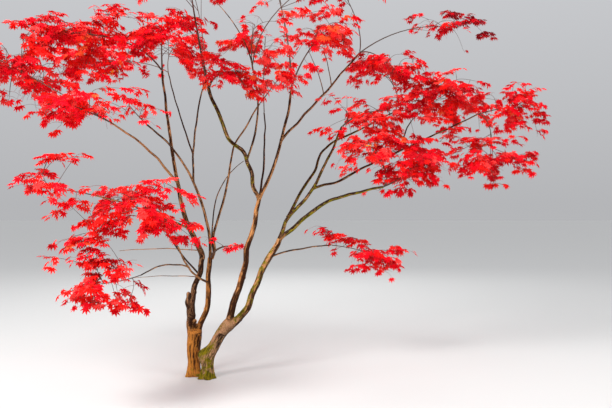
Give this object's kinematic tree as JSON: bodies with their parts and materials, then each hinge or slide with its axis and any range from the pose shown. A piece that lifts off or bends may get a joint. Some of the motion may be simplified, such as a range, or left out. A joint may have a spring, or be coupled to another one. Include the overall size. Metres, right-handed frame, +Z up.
{
  "type": "japanese maple tree",
  "caption": "Whole Japanese maple in autumn leaf: two stems from one root, arching mossy boughs and loose tiers of crimson foliage.",
  "frame": {"origin": "middle of the flat cut under the main stem, at ground level", "axes": "+Z up, +X to the right and -Y towards the viewer, as in the picture"},
  "size_m": [5.0219, 3.3162, 4.1508],
  "materials": {
    "bark": "rough, mossy in places",
    "leaf": "satin"
  },
  "bodies": {
    "root": {"back_bough": "bark", "back_centre_foliage": "leaf", "back_left_bough": "bark", "back_left_foliage": "leaf", "back_low_left_bough": "bark", "back_low_left_foliage": "leaf", "back_outer_left_foliage": "leaf", "back_outer_right_foliage": "leaf", "back_right_foliage": "leaf", "centre_bough": "bark", "centre_foliage": "leaf", "centre_low_foliage": "leaf", "centre_middle_foliage": "leaf", "centre_right_foliage": "leaf", "far_left_bough": "bark", "far_left_foliage": "leaf", "far_right_back_foliage": "leaf", "fork_bough": "bark", "fork_spray": "leaf", "front_left_foliage": "leaf", "front_right_foliage": "leaf", "inner_left_bough": "bark", "inner_left_spray": "leaf", "leader": "bark", "left_bough": "bark", "left_leader": "bark", "left_mid_foliage": "leaf", "left_stem": "bark", "left_weeping_foliage": "leaf", "long_right_bough": "bark", "low_left_bough": "bark", "low_right_bough": "bark", "low_spray_bough": "bark", "low_spray_foliage": "leaf", "mossy_bough": "bark", "outer_left_bough": "bark", "outer_left_foliage": "leaf", "parallel_bough": "bark", "right_bough": "bark", "right_centre_bough": "bark", "right_centre_foliage": "leaf", "right_inner_low_foliage": "leaf", "right_inner_upper_foliage": "leaf", "right_low_foliage": "leaf", "right_low_outer_foliage": "leaf", "right_tip_bough": "bark", "right_tip_foliage": "leaf", "right_upper_foliage": "leaf", "slender_bough": "bark", "tall_bough": "bark", "top_centre_foliage": "leaf", "top_left_foliage": "leaf", "top_right_foliage": "leaf", "trunk": "bark", "upper_left_foliage": "leaf", "upper_left_inner_foliage": "leaf", "upper_left_low_foliage": "leaf", "upper_right_bough": "bark", "upright_bough": "bark", "weeping_bough": "bark"}
  },
  "joints": []
}
